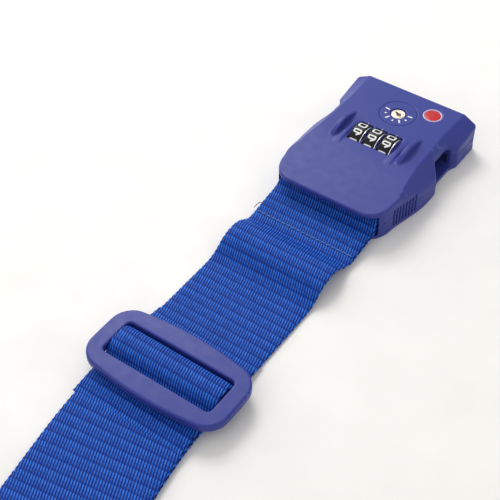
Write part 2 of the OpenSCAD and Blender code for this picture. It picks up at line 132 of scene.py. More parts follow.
def slab(t, low, high):
    return np.maximum(low - t, t - high)


def block(x, y, z, low, high, r):
    """Box with every edge rounded."""
    return both(both(slab(x, low[0], high[0]), slab(y, low[1], high[1]), r), slab(z, low[2], high[2]), r)


def round_bar(a, b, r):
    """Endless cylinder of radius r about a = b = 0."""
    return np.hypot(a, b) - r


def gradient(field, p, h=0.02):
    g = np.empty_like(p)
    for k in range(3):
        step = np.zeros(3)
        step[k] = h
        g[:, k] = (field(*(p + step).T) - field(*(p - step).T)) / (2 * h)
    return g


CORNERS = np.array([[i, j, k] for i in (0, 1) for j in (0, 1) for k in (0, 1)])
EDGES = [(a, b) for a in range(8) for b in range(a + 1, 8) if abs(CORNERS[a] - CORNERS[b]).sum() == 1]


def skin(field, low, high, step):
    """Points and quads of the surface where field is 0, by surface nets, each point pulled onto it."""
    low, high = np.asarray(low, float), np.asarray(high, float)
    count = np.ceil((high - low) / step).astype(int) + 1
    axes = [low[k] + step * np.arange(count[k]) for k in range(3)]
    value = field(*np.meshgrid(*axes, indexing="ij"))
    inside = value < 0
    cell = tuple(count - 1)
    corner = [value[i:i + cell[0], j:j + cell[1], k:k + cell[2]] for i, j, k in CORNERS]
    filled = sum((c < 0).astype(np.int8) for c in corner)
    active = (filled > 0) & (filled < 8)
    number = np.full(cell, -1)
    number[active] = np.arange(active.sum())
    v = np.stack([c[active] for c in corner], 1)
    total = np.zeros((len(v), 3))
    hits = np.zeros((len(v), 1))
    for a, b in EDGES:
        crosses = (v[:, a] < 0) != (v[:, b] < 0)
        t = np.where(crosses, v[:, a] / np.where(crosses, v[:, a] - v[:, b], 1), 0)[:, None]
        total += crosses[:, None] * (CORNERS[a] + t * (CORNERS[b] - CORNERS[a]))
        hits += crosses[:, None]
    p = low + step * (np.argwhere(active) + total / hits)
    start = p.copy()
    for _ in range(5):
        g = gradient(field, p)
        move = -(field(*p.T) / np.maximum((g ** 2).sum(1), 0.05))[:, None] * g
        p = np.clip(p + move, start - 0.6 * step, start + 0.6 * step)
    quads = []
    for axis in range(3):
        u, w = [k for k in range(3) if k != axis]
        a = np.moveaxis(inside, axis, 0)
        change = np.argwhere(a[:-1, 1:-1, 1:-1] != a[1:, 1:-1, 1:-1])
        rising = a[1:, 1:-1, 1:-1][tuple(change.T)]
        around = np.moveaxis(number, axis, 0)
        i, j, k = change.T
        ring = [around[i, j, k], around[i, j + 1, k], around[i, j + 1, k + 1], around[i, j, k + 1]]
        ring = np.stack(ring, 1)
        flip = rising == (axis != 1)
        ring[flip] = ring[flip][:, ::-1]
        quads.append(ring)
    return p, np.concatenate(quads)


# ---- meshes ----

def add_mesh(name, points, faces, uv=None, smooth=True):
    """Object from points in mm and a list of face arrays, one array for each number of corners."""
    faces = [np.asarray(f) for f in (faces if isinstance(faces, list) else [faces])]
    mesh = bpy.data.meshes.new(name)
    corners = np.concatenate([f.ravel() for f in faces]).astype(np.int32)
    sizes = np.concatenate([np.full(len(f), f.shape[1]) for f in faces])
    mesh.vertices.add(len(points))
    mesh.vertices.foreach_set("co", (np.asarray(points) * MM).astype(np.float32).ravel())
    mesh.loops.add(len(corners))
    mesh.loops.foreach_set("vertex_index", corners)
    mesh.polygons.add(len(sizes))
    mesh.polygons.foreach_set("loop_start", np.concatenate([[0], np.cumsum(sizes)[:-1]]).astype(np.int32))
    mesh.polygons.foreach_set("use_smooth", np.full(len(sizes), smooth))
    mesh.update(calc_edges=True)
    if uv is not None:
        layer = mesh.uv_layers.new(name="Weave")
        layer.uv.foreach_set("vector", np.asarray(uv)[corners].astype(np.float32).ravel())
    piece = bpy.data.objects.new(name, mesh)
    bpy.context.scene.collection.objects.link(piece)
    return piece


def finish_piece(piece, material, body, nodes=()):
    """Gives a piece its material and its body, and hides the CAD nodes that it stands for."""
    piece.data.materials.append(material)
    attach(piece, body)
    if nodes:
        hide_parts(*nodes)
    return piece


def merged(parts):
    """One set of points and quads from several."""
    points, faces, offset = [], [], 0
    for p, f in parts:
        points.append(p)
        faces.append([np.asarray(q) + offset for q in f])
        offset += len(p)
    return np.concatenate(points), [q for f in faces for q in f]


def resample(path, step):
    """Points spaced evenly along a polyline."""
    path = np.asarray(path, float)
    s = np.concatenate([[0], np.cumsum(np.linalg.norm(np.diff(path, axis=0), axis=1))])
    at = np.linspace(0, s[-1], max(2, int(round(s[-1] / step)) + 1))
    return np.stack([np.interp(at, s, path[:, k]) for k in range(path.shape[1])], 1)


def softened(path, step, sigma):
    """An evenly spaced copy of a path with its corners rounded over about sigma."""
    path = resample(path, step)
    reach = int(math.ceil(3 * sigma / step))
    weight = np.exp(-0.5 * (np.arange(-reach, reach + 1) * step / sigma) ** 2)
    weight /= weight.sum()
    ends = [2 * path[0] - path[reach:0:-1], path, 2 * path[-1] - path[-2:-reach - 2:-1]]
    padded = np.concatenate(ends)
    return np.stack([np.convolve(padded[:, k], weight, "valid") for k in range(path.shape[1])], 1)


def arc(centre, r, start, end, n=16):
    a = np.radians(np.linspace(start, end, n))
    return np.stack([centre[0] + r * np.cos(a), centre[1] + r * np.sin(a)], 1)


def tangents(path, closed=False):
    if closed:
        t = np.roll(path, -1, 0) - np.roll(path, 1, 0)
    else:
        t = np.gradient(path, axis=0)
    return t / np.linalg.norm(t, axis=1)[:, None]


def ring_quads(rings, around, closed=False):
    """Quads between neighbouring rings of a swept surface."""
    i = np.arange(rings if closed else rings - 1)[:, None] * around
    j = np.arange(around)[None, :]
    nxt = (i + around) % (rings * around)
    return np.stack([i + j, i + (j + 1) % around, nxt + (j + 1) % around, nxt + j], -1).reshape(-1, 4)


def swept(path, out, half_w, half_h, sides=8, closed=False):
    """A strand of oval section along path. out is the direction in which half_h is measured."""
    path = np.asarray(path, float)
    t = tangents(path, closed)
    out = np.broadcast_to(out, path.shape)
    across = np.cross(t, out)
    across /= np.linalg.norm(across, axis=1)[:, None]
    up = np.cross(across, t)
    half_w = np.broadcast_to(half_w, len(path))[:, None, None]
    half_h = np.broadcast_to(half_h, len(path))[:, None, None]
    a = np.arange(sides) * 2 * math.pi / sides
    ring = (path[:, None] + half_w * across[:, None] * np.cos(a)[None, :, None]
            + half_h * up[:, None] * np.sin(a)[None, :, None])
    faces = [ring_quads(len(path), sides, closed)[:, ::-1]]
    if not closed:
        last = (len(path) - 1) * sides
        faces.append(np.array([np.arange(sides), last + np.arange(sides)[::-1]]))
    return ring.reshape(-1, 3), faces


# ---- webbing bands ----

def band_section(half_w, half_t, columns):
    """Closed outline of a ply's cut, as (across, height), with full round selvedges."""
    a = np.linspace(math.pi, 0, columns)
    across = np.sign(np.cos(a)) * np.abs(np.cos(a)) ** 0.55
    height = np.maximum(1 - np.abs(across) ** 18, 0) ** 0.5
    top = np.stack([across * half_w, height * half_t], 1)
    bottom = top[-2:0:-1] * [1, -1]
    return np.concatenate([top, bottom])


def add_band(name, path, half_w=None, thickness=None, columns=17, rib=0.015, rows=None, closed=False,
             across=None):
    """A woven band along path, the middle of its cut. rows counts its weave along the path."""
    half_w = WEB_HALF if half_w is None else half_w
    path = np.asarray(path, float)
    t = tangents(path, closed)
    x_axis = np.array([1.0, 0, 0]) if across is None else np.asarray(across, float)
    side = x_axis - (t @ x_axis)[:, None] * t
    side /= np.linalg.norm(side, axis=1)[:, None]
    out = np.cross(t, side)
    gaps = np.linalg.norm(np.diff(path, axis=0), axis=1)
    s = np.concatenate([[0], np.cumsum(gaps)])
    rows = s / ROW if rows is None else rows
    half_t = np.full(len(path), WEB_T / 2) if thickness is None else np.asarray(thickness) / 2
    wave = np.cos(2 * math.pi * rows)
    section = band_section(1, 1, columns)
    scallop = (half_w + 0.12 * wave)[:, None]
    swell = (half_t + rib * np.minimum(half_t / 0.5, 1) * wave)[:, None]
    edge = np.abs(section[:, 0]) ** 6
    width = half_w * section[None, :, 0] * (1 - edge) + scallop * section[None, :, 0] * edge
    height = swell * section[None, :, 1]
    points = path[:, None] + width[..., None] * side[:, None] + height[..., None] * out[:, None]
    around = len(section)
    faces = [ring_quads(len(path), around, closed)]
    if not closed:
        last = (len(path) - 1) * around
        faces.append(np.array([np.arange(around)[::-1], last + np.arange(around)]))
    u = np.broadcast_to(section[None, :, 0] * half_w / COLUMN, width.shape)
    v = np.broadcast_to(rows[:, None], width.shape)
    uv = np.stack([u, v], -1).reshape(-1, 2)
    return add_mesh(name, points.reshape(-1, 3), faces, uv)


# ---- materials ----

def srgb(r, g, b):
    """Linear colour from an sRGB one of 0 to 255."""
    c = np.array([r, g, b]) / 255
    linear = np.where(c <= 0.04045, c / 12.92, ((c + 0.055) / 1.055) ** 2.4)
    return (*linear, 1.0)


class Shader:
    """A material's node tree with short calls for the nodes that it needs."""

    def __init__(self, name):
        self.material = bpy.data.materials.new(name)
        self.material.use_nodes = True
        self.tree = self.material.node_tree
        self.surface = self.tree.nodes["Principled BSDF"]

    def node(self, kind, sockets=None, **settings):
        n = self.tree.nodes.new("ShaderNode" + kind)
        for key, value in settings.items():
            setattr(n, key, value)
        for key, value in (sockets or {}).items():
            self.put(n.inputs[key], value)
        return n

    def put(self, socket, value):
        if isinstance(value, bpy.types.NodeSocket):
            self.tree.links.new(value, socket)
        else:
            socket.default_value = value

    def math(self, operation, *values):
        n = self.node("Math", operation=operation)
        for i, value in enumerate(values):
            self.put(n.inputs[i], value)
        return n.outputs[0]

    def set(self, **sockets):
        for key, value in sockets.items():
            self.put(self.surface.inputs[key.replace("_", " ")], value)

    def noise(self, scale, detail=2.0, rough=0.5, vector=None):
        sockets = {"Scale": scale, "Detail": detail, "Roughness": rough}
        sockets["Vector"] = vector or self.node("TexCoord").outputs["Object"]
        return self.node("TexNoise", sockets).outputs[0]

    def mix(self, factor, a, b):
        n = self.node("Mix", data_type="RGBA")
        self.put(n.inputs[0], factor)
        self.put(n.inputs[6], a)
        self.put(n.inputs[7], b)
        return n.outputs[2]

    def spread(self, value, low, high, to_low, to_high):
        sockets = {1: low, 2: high, 3: to_low, 4: to_high}
        n = self.node("MapRange")
        self.put(n.inputs[0], value)
        for i, number in sockets.items():
            self.put(n.inputs[i], number)
        return n.outputs[0]

    def bump(self, height, distance, strength=1.0, normal=None):
        sockets = {"Height": height, "Distance": distance, "Strength": strength}
        if normal is not None:
            sockets["Normal"] = normal
        return self.node("Bump", sockets).outputs[0]

    def worn(self, low, high):
        """1 on outer edges and 0 on flat faces."""
        return self.spread(self.node("NewGeometry").outputs["Pointiness"], low, high, 0.0, 1.0)


def moulded_plastic(name, colour, worn_colour, roughness=0.42):
    """Satin moulding with a fine grain and paler edges."""
    m = Shader(name)
    cloudy = m.noise(60.0, 3.0)
    grain = m.noise(2600.0, 2.0)
    tint = m.mix(m.spread(cloudy, 0.3, 0.7, 0.0, 0.06), colour, tuple(0.82 * c for c in colour[:3]) + (1,))
    edge = m.math("MULTIPLY", m.worn(0.52, 0.62), 0.3)
    m.set(Base_Color=m.mix(edge, tint, worn_colour))
    m.set(Roughness=m.spread(m.noise(260.0, 3.0), 0.3, 0.7, roughness - 0.03, roughness + 0.05))
    m.surface.inputs["Specular IOR Level"].default_value = 0.3
    m.set(Normal=m.bump(grain, 0.00002, 0.5))
    return m.material


def woven(name, gap_shade, low, high, sheen=0.05):
    """Ribbed webbing: slanting strokes run on from row to row, every other row shorter, lower and in
    painted shade.
    """
    m = Shader(name)
    uv = m.node("UVMap", uv_map="Weave").outputs[0]
    parts = m.node("SeparateXYZ", {0: uv})
    u, v = parts.outputs[0], parts.outputs[1]
    row, along = m.math("FLOOR", v), m.math("FRACT", v)
    odd = m.math("MODULO", m.math("ABSOLUTE", row), 2.0)
    glide = m.spread(along, 0.12, 1.0, 0.0, 0.5)
    lane = m.math("SUBTRACT", m.math("SUBTRACT", u, m.math("MULTIPLY", row, 0.5)), glide)
    across = m.math("SUBTRACT", m.math("FRACT", lane), 0.5)
    hollow = m.math("POWER", m.math("ABSOLUTE", m.math("DIVIDE", across, 0.41)), 2.0)
    stroke = m.math("SQRT", m.math("MAXIMUM", m.math("SUBTRACT", 1.0, hollow), 0.0))
    head = m.spread(along, 0.0, 0.2, 0.8, 1.0)
    tail = m.spread(along, 0.3, 1.0, 1.0, m.math("SUBTRACT", 0.86, m.math("MULTIPLY", odd, 0.22)))
    dim = m.math("SUBTRACT", 1.0, m.math("MULTIPLY", odd, 0.12))
    height = m.math("MULTIPLY", m.math("MULTIPLY", stroke, dim), m.math("MULTIPLY", head, tail))
    pick = m.node("CombineXYZ", {0: m.math("FLOOR", lane), 1: row}).outputs[0]
    chance = m.node("TexWhiteNoise", {"Vector": pick}, noise_dimensions="2D").outputs["Value"]
    stretch = m.node("VectorMath", {0: uv, 1: (9.0, 2.0, 1.0)}, operation="MULTIPLY").outputs[0]
    fibre = m.noise(1.0, 3.0, 0.6, stretch)
    # Colour follows the strokes' height: painted shade in the gaps between them and on the lower odd rows,
    # a painted highlight on their crests.
    shade_and_tone = m.math("MULTIPLY", height, m.spread(chance, 0.0, 1.0, 0.9, 1.06))
    shade_and_tone = m.math("MULTIPLY", shade_and_tone, m.spread(fibre, 0.25, 0.75, 0.9, 1.08))
    shade_ramp = m.node("ValToRGB", {0: shade_and_tone})
    # The first colour is painted shade between the strokes and the last a painted highlight on their
    # crests; the middle one is the yarn's own blue.
    shade_ramp.color_ramp.elements[0].color = gap_shade
    shade_ramp.color_ramp.elements[0].position = 0.12
    shade_ramp.color_ramp.elements[1].color = high
    shade_ramp.color_ramp.elements[1].position = 1.0
    shade_ramp.color_ramp.elements.new(0.55).color = low
    m.set(Base_Color=shade_ramp.outputs[0])
    m.set(Roughness=m.spread(fibre, 0.2, 0.8, 0.5, 0.68))
    m.surface.inputs["Specular IOR Level"].default_value = 0.16
    m.surface.inputs["Sheen Weight"].default_value = sheen
    m.surface.inputs["Sheen Roughness"].default_value = 0.4
    m.surface.inputs["Sheen Tint"].default_value = high
    coarse = m.bump(height, 0.00026, 0.8)
    m.set(Normal=m.bump(fibre, 0.00003, 0.6, coarse))
    return m.material


def metal(name, colour, roughness, grain=900.0):
    """Drawn or plated metal with fine scratches."""
    m = Shader(name)
    place = m.node("TexCoord").outputs["Object"]
    stretch = m.node("Mapping", {"Vector": place, "Scale": (0.15, 1.0, 1.0)}).outputs[0]
    scratch = m.noise(grain, 3.0, 0.6, stretch)
    m.surface.inputs["Metallic"].default_value = 1.0
    dull = tuple(0.7 * c for c in colour[:3]) + (1,)
    m.set(Base_Color=m.mix(m.spread(m.noise(180.0, 3.0), 0.35, 0.7, 0.0, 0.35), colour, dull))
    m.set(Roughness=m.spread(scratch, 0.3, 0.7, roughness - 0.06, roughness + 0.1))
    m.set(Normal=m.bump(scratch, 0.00001, 0.5))
    return m.material


def enamel(name, colour, roughness=0.3):
    """Painted or printed mark, a little uneven."""
    m = Shader(name)
    uneven = m.noise(500.0, 3.0)
    darker = tuple(0.86 * c for c in colour[:3]) + (1,)
    m.set(Base_Color=m.mix(m.spread(uneven, 0.35, 0.7, 0.0, 1.0), colour, darker))
    m.set(Roughness=m.spread(uneven, 0.3, 0.7, roughness, roughness + 0.12))
    m.set(Normal=m.bump(uneven, 0.00001, 0.4))
    return m.material


def spun_thread(name, colour):
    """Twisted sewing thread, with painted shade in the grooves of its twist."""
    m = Shader(name)
    wave = m.node("TexWave", {"Scale": 900.0, "Distortion": 1.5}, bands_direction="DIAGONAL")
    twist = wave.outputs["Fac"]
    darker = tuple(0.55 * c for c in colour[:3]) + (1,)
    # The twist's grooves, low in the bump, are painted darker as shade.
    m.set(Base_Color=m.mix(twist, darker, colour), Roughness=m.spread(twist, 0.0, 1.0, 0.6, 0.45))
    m.set(Normal=m.bump(twist, 0.00006, 0.7))
    return m.material


SHELL = moulded_plastic("satin_blue_plastic", srgb(51, 61, 146), srgb(120, 124, 200))
DIAL_BLACK = moulded_plastic("black_dial_plastic", srgb(9, 9, 11), srgb(50, 50, 52), 0.35)
DARK_PLASTIC = moulded_plastic("dark_button_plastic", srgb(40, 40, 46), srgb(90, 90, 96))
# Each weave's colours: painted shade in the gaps, the yarn's own colour, and a painted highlight on the
# crests.
WEBBING = woven("woven_blue_webbing", srgb(0, 20, 100), srgb(4, 58, 156), srgb(48, 118, 228))
ELASTIC = woven("woven_navy_elastic", srgb(3, 10, 46), srgb(12, 28, 92), srgb(44, 66, 150))
THREAD = spun_thread("blue_sewing_thread", srgb(96, 138, 224))
DARK_THREAD = spun_thread("dark_loose_thread", srgb(20, 34, 90))
STEEL = metal("bright_steel", (0.62, 0.63, 0.65, 1), 0.3)
PLATED = metal("plated_rim", (0.86, 0.86, 0.88, 1), 0.28)
BARREL = metal("pale_brass_barrel", (0.83, 0.78, 0.66, 1), 0.36, 600.0)
WHITE_MARK = enamel("white_print", srgb(245, 245, 245))
RED_ENAMEL = enamel("red_enamel", srgb(205, 24, 34), 0.22)
PALE_RIM = enamel("pale_lavender_rim", srgb(205, 196, 232))


# ---- lock housing ----

TAIL_HALF, BULGE, TAIL_R = 27.5, 4.8, 10.0
NOTCH, SILL = 5.1, 2.4
# Along y: where the sides swell, where the notch goes in and where it comes out again, less NOSE_IN.
SWELL_Y, NOTCH_IN_Y, NOTCH_OUT_Y, NOSE_IN = (-34, -4), (1, 9), (18.5, 24), 0.8
FLOOR_T, WALL = 2.2, 1.8
TAIL_DROP, DROP_FROM, DROP_TO = 3.0, 4, 44
# Grooves in the sides by the tail: the first one's y, pitch, number, half-width and depth.
GRIP_FIRST, GRIP_PITCH, GRIP_COUNT, GRIP_HALF, GRIP_DEPTH = TAIL_Y + 13, 1.9, 8, 0.55, 1.1
FIN_X, FIN_Y, FIN_HALF_W, FIN_HALF_L, FIN_H = 17.0, 2.6, 1.5, 10.2, 3.6
CHAMBER_HALF = WEB_HALF + 0.4
CHAMBER_END = PIN[1] + 4.1
CHANNEL_Y, CHANNEL_TOP = 12.0, 8.0
SCREWS = [(-21.6, -23.4), (21.6, -23.4), (-11.5, 30.0), (11.5, 30.0)]
BOSS_R = 3.0
WINDOW_R, WINDOW_HALF = DIAL_R + 0.25, DIAL_HALF + 0.45
SHOULDER_OUT = 36.0             # how far across each shoulder's drop is worked out
# Where each sloping shoulder is set: y, its inner edge and its height where it meets the wall.
SHOULDER = [(-42, 26.5, 17), (-14, 26, 11), (0, 25, 9), (22, 24.4, 11.5), (42, 25.2, 14)]
GABLE_Y, GABLE_H = -1.8, 0.7


def side_x(y, cut=NOTCH):
    """Half-width of the lock in plan."""
    notch = cut * ramp(y, *NOTCH_IN_Y) - (cut - NOSE_IN) * ramp(y, *NOTCH_OUT_Y)
    return TAIL_HALF + BULGE * ramp(y, *SWELL_Y) - notch


def top_z(y):
    return ROOF - TAIL_DROP * ramp(-y, DROP_FROM, DROP_TO)


def lock_wall(x, y, inset, cut=NOTCH):
    """The lock's upright walls."""
    slope = (side_x(y + 0.05, cut) - side_x(y - 0.05, cut)) / 0.1
    sides = (np.abs(x) - side_x(y, cut) + inset) / np.hypot(1, slope)
    wall = both(sides, TAIL_Y + inset - y, TAIL_R - inset)
    return both(wall, y - NOSE_Y + inset, 1.2)


def shoulders(x, y, z):
    """Flat slopes that take off the top's long edges and run out before the tail."""
    stations = [s[0] for s in SHOULDER]
    drops = [(ROOF - s[2]) / (side_x(s[0]) - s[1]) * (SHOULDER_OUT - s[1]) for s in SHOULDER]
    inner = np.interp(y, stations, [s[1] for s in SHOULDER])
    fall = np.interp(y, stations, drops) / (SHOULDER_OUT - inner)
    return (z - ROOF + fall * (np.abs(x) - inner)) / np.hypot(1, fall)


def bosses(x, y):
    return np.minimum.reduce([round_bar(x - sx, y - sy, BOSS_R) for sx, sy in SCREWS])


def openings(x, y, z):
    """What both covers leave free: webbing chamber, plug channel, side openings, pin and grip grooves."""
    ax = np.abs(x)
    chamber = block(x, y, z, (-CHAMBER_HALF, TAIL_Y - 9, 1.4), (CHAMBER_HALF, CHAMBER_END, 12), 0.6)
    channel = block(x, y, z, (-25.4, CHANNEL_Y, FLOOR_T), (25.4, NOSE_Y + 9, CHANNEL_TOP), 0.4)
    channel = without(channel, bosses(x, y), 0.2)
    side = block(ax, y, z, (20, 8.6, 1.6), (40, 21.0, 11), 1.2)
    pin = both(round_bar(y - PIN[1], z - PIN[2], PIN_R + AIR), ax - PIN_HALF - 0.1, 0.05)
    grooves = np.minimum.reduce([
        both(np.abs(y - GRIP_FIRST - GRIP_PITCH * i) - GRIP_HALF, side_x(y) - GRIP_DEPTH - ax, 0.2)
        for i in range(GRIP_COUNT)])
    grooves = both(grooves, slab(z, 1.5, 11.0), 0.3)
    return np.minimum.reduce([chamber, channel, side, pin, grooves])


def lower_cover(x, y, z):
    upright = both(lock_wall(x, y, 0), slab(z, 0, PART_Z - AIR), 0.35)
    floor = both(lock_wall(x, y, 0, SILL), slab(z, 0, FLOOR_T), 0.5)
    hollow = both(lock_wall(x, y, WALL), slab(y, CHAMBER_END + WALL, NOSE_Y - 3), 0.3)
    hollow = both(hollow, slab(z, FLOOR_T, PART_Z + 9), 0.3)
    solid = without(either(upright, floor, 0.6), hollow, 0.2)
    solid = either(solid, both(bosses(x, y), slab(z, 1, PART_Z - AIR), 0.1), 0.2)
    for sx, sy in SCREWS:
        solid = without(solid, round_bar(x - sx, y - sy, 1.5), 0.1)
        solid = without(solid, both(round_bar(x - sx, y - sy, 2.8), z - 1.8, 0.05), 0.1)
    solid = without(solid, round_bar(x - RESET[0], y - RESET[1], 2.25), 0.15)
    return without(solid, openings(x, y, z), 0.3)


def fins(x, y, z):
    """Two blades beside the dials, arched along and drawn out to thin ends."""
    arch = 1 - ((y - FIN_Y) / FIN_HALF_L) ** 2
    crest = (z - top_z(FIN_Y) - FIN_H * arch + 0.2) * 0.8
    flank = np.abs(np.abs(x) - FIN_X) - FIN_HALF_W * np.sqrt(np.maximum(arch, 0.02)) - 0.25 * (ROOF + 2 - z)
    return both(flank, crest, 0.45)


def roof(x, y, z):
    """Top face, with a low gable at each end of the dials."""
    tail_side = 1 - (GABLE_Y - y) / 9
    nose_side = 1 - (y - GABLE_Y) / 12
    gable = GABLE_H * np.maximum(np.minimum(tail_side, nose_side), 0) * ramp(-np.abs(x), -15, -13.8)
    gable = gable * ramp(np.abs(x), 11.2, 12.2)
    return z - top_z(y) - gable


def upper_cover(x, y, z):
    ax = np.abs(x)
    top = both(roof(x, y, z), shoulders(x, y, z), 0.25)
    body = both(lock_wall(x, y, 0), top, 0.8)
    body = both(body, PART_Z + AIR - z, 0.3)
    hollow = both(lock_wall(x, y, WALL), ax - 24, 0.3)
    hollow = both(hollow, slab(y, CHAMBER_END + WALL, NOSE_Y - 3), 0.3)
    hollow = both(hollow, z - top_z(y) + WALL, 0.3)
    solid = without(body, hollow, 0.2)
    inner = both(bosses(x, y), slab(z, PART_Z + AIR, top_z(y) - 1), 0.1)
    inner = np.minimum(inner, both(round_bar(x, y - KEY[1], KEY_R + 2), slab(z, 9.9, ROOF - 0.9), 0.1))
    inner = np.minimum(inner, block(ax, y, z, (11.5, DIAL_Y - 4, 9.2), (12.8, DIAL_Y + 4, ROOF - 1), 0.2))
    solid = either(either(solid, inner, 0.2), fins(x, y, z), 0.5)
    solid = without(solid, openings(x, y, z), 0.3)
    cuts = [both(round_bar(y - DIAL_Y, z - DIAL_Z, WINDOW_R), np.abs(x - m[0]) - WINDOW_HALF, 0.1)
            for m in DIAL_MIDDLES]
    cuts += [both(round_bar(x - sx, y - sy, 1.32), z - 13, 0.1) for sx, sy in SCREWS]
    cuts.append(both(round_bar(y - DIAL_Y, z - DIAL_Z, SHAFT_R + AIR), ax - SHAFT_HALF - 0.1, 0.05))
    cuts.append(round_bar(x, y - KEY[1], KEY_R + 0.1))
    cuts.append(both(round_bar(x, y - KEY[1], BEZEL_R + AIR), BEZEL_LOW[2] - z, 0.05))
    cuts.append(both(round_bar(x - BADGE[0], y - BADGE[1], BADGE_R + AIR), BADGE_LOW[2] - z, 0.05))
    return without(solid, np.minimum.reduce(cuts), 0.12)


def build_lock():
    step = 0.4
    margin = 1.3
    low, high = LOCK_LOW - margin, LOCK_HIGH + margin
    lower = add_mesh("lower_cover_shell", *skin(lower_cover, low, high, step))
    finish_piece(lower, SHELL, "lock", ["lower_cover"])
    low, high = span("upper_cover")
    upper = add_mesh("upper_cover_shell", *skin(upper_cover, low - margin, high + margin, step))
    finish_piece(upper, SHELL, "lock", ["upper_cover"])


# ---- dials, key and badge ----

# Strokes of each digit, as points in a unit square and whether the stroke is closed.
DIGITS = {
    "0": [([(0.1, 0), (0.9, 0), (1, 0.12), (1, 0.88), (0.9, 1), (0.1, 1), (0, 0.88), (0, 0.12)], True)],
    "1": [([(0.3, 0.8), (0.55, 1), (0.55, 0)], False)],
    "2": [([(0, 0.85), (0.12, 1), (0.88, 1), (1, 0.85), (1, 0.55), (0, 0), (1, 0)], False)],
    "3": [([(0, 1), (0.9, 1), (1, 0.88), (1, 0.12), (0.9, 0), (0, 0)], False),
          ([(0.3, 0.5), (1, 0.5)], False)],
    "4": [([(0.75, 0), (0.75, 1), (0, 0.35), (1, 0.35)], False)],
    "5": [([(1, 1), (0, 1), (0, 0.55), (0.9, 0.55), (1, 0.42), (1, 0.12), (0.9, 0), (0, 0)], False)],
    "6": [([(0.9, 1), (0.1, 1), (0, 0.88), (0, 0.12), (0.1, 0), (0.9, 0), (1, 0.12), (1, 0.45), (0.9, 0.55),
            (0.02, 0.55)], False)],
    "7": [([(0, 1), (1, 1), (0.45, 0)], False)],
    "8": [([(0.1, 0), (0.9, 0), (1, 0.12), (1, 0.88), (0.9, 1), (0.1, 1), (0, 0.88), (0, 0.12)], True),
          ([(0, 0.5), (1, 0.5)], False)],
    "9": [([(0.98, 0.45), (0.1, 0.45), (0, 0.57), (0, 0.88), (0.1, 1), (0.9, 1), (1, 0.88), (1, 0.45),
            (0.5, 0)], False)],
}
DIGIT_W, DIGIT_H, STROKE = 3.3, 2.9, 0.4
FIRST_ANGLE = 14.5              # where the shown 0 sits, in degrees from the top towards the nose
NOTCH_HALF, NOTCH_DEPTH = 0.6, 0.4
BORE_R = 3.95


def dial_drum(x0):
    """Drum with ten finger notches between its digits."""
    turns = np.radians(np.arange(0, 360, 1.0))
    off = (np.degrees(turns) - 18 + 18) % 36 - 18
    arc_mm = np.abs(np.radians(off)) * DIAL_R
    dip = NOTCH_DEPTH * (1 - ramp(arc_mm, NOTCH_HALF - 0.15, NOTCH_HALF + 0.1))
    w, r = DIAL_HALF, DIAL_R
    half = [(w, BORE_R, 0), (w, BORE_R + 0.6, 0), (w, r - 1.2, 0.2), (w, r - 0.35, 1),
            (w - 0.1, r - 0.1, 1), (w - 0.35, r, 1), (0.5 * w, r, 1)]
    half = np.array(half)
    outline = np.concatenate([half * [-1, 1, 1], half[::-1]])
    radius = outline[None, :, 1] - dip[:, None] * outline[None, :, 2]
    x = np.broadcast_to(x0 + outline[None, :, 0], radius.shape)
    y = DIAL_Y + radius * np.sin(turns)[:, None]
    z = DIAL_Z + radius * np.cos(turns)[:, None]
    points = np.stack([x, y, z], -1).reshape(-1, 3)
    return points, ring_quads(len(turns), len(outline), closed=True)


def on_drum(x0, flat, angle):
    """Points (across, along) of a flat drawing, wrapped on the drum at an angle."""
    a = math.radians(angle) + flat[:, 1] / DIAL_R
    out = np.stack([np.zeros_like(a), np.sin(a), np.cos(a)], 1)
    return np.array([x0, DIAL_Y, DIAL_Z]) + out * DIAL_R + flat[:, :1] * [1, 0, 0], out


def digit_strokes(x0):
    parts = []
    for number in range(10):
        for line, closed in DIGITS[str(number)]:
            flat = (np.array(line) - 0.5) * [DIGIT_W, DIGIT_H]
            flat = resample(np.concatenate([flat, flat[:1]]), 0.25)[:-1] if closed else resample(flat, 0.25)
            points, out = on_drum(x0, flat, FIRST_ANGLE + 36 * number)
            parts.append(swept(points, out, STROKE, 0.07, 8, closed))
    return merged(parts)


def build_dials():
    for letter, number in zip("abc", (1, 2, 3)):
        x0 = DIAL_MIDDLES[number - 1][0]
        drum = add_mesh(f"dial_{number}_drum", *dial_drum(x0))
        finish_piece(drum, DIAL_BLACK, f"dial_{letter}", [f"dial_{number}"])
        marks = add_mesh(f"dial_{number}_digits", *digit_strokes(x0))
        finish_piece(marks, WHITE_MARK, f"dial_{letter}")


def lathe(profile, centre, steps=96):
    """Closed ring from a closed outline of (radius, height), turned about a vertical axis."""
    profile = np.asarray(profile, float)
    a = np.arange(steps) * 2 * math.pi / steps
    x = centre[0] + profile[None, :, 0] * np.cos(a)[:, None]
    y = centre[1] + profile[None, :, 0] * np.sin(a)[:, None]
    z = np.broadcast_to(profile[None, :, 1], x.shape)
    return np.stack([x, y, z], -1).reshape(-1, 3), ring_quads(steps, len(profile), closed=True)


def bezel(x, y, z):
    r = np.hypot(x - KEY[0], y - KEY[1])
    plate = both(r - BEZEL_R, slab(z, BEZEL_LOW[2], ROOF), 0.22)
    return without(plate, r - KEY_R - 0.45, 0.2)


def barrel(x, y, z):
    dx, dy = x - KEY[0], y - KEY[1]
    r = np.hypot(dx, dy)
    turned = both(r - KEY_R, slab(z, KEY_LOW[2] + 1.7, KEY_HIGH[2]), 0.35)
    stem = both(r - 1.5, slab(z, KEY_LOW[2], KEY_LOW[2] + 3), 0.05)
    groove = both(np.abs(r - 2.65) - 0.1, KEY_HIGH[2] - 0.12 - z, 0.02)
    face = without(np.minimum(turned, stem), groove, 0.05)
    along, over = 0.88 * dx - 0.47 * dy, 0.47 * dx + 0.88 * dy
    slot = both(np.abs(along) - 1.85, np.abs(over) - 0.52, 0.15)
    slot = either(slot, np.hypot(along - 0.6, over) - 1.1, 0.2)
    return without(face, both(slot, KEY_HIGH[2] - 2.6 - z, 0.05), 0.1)


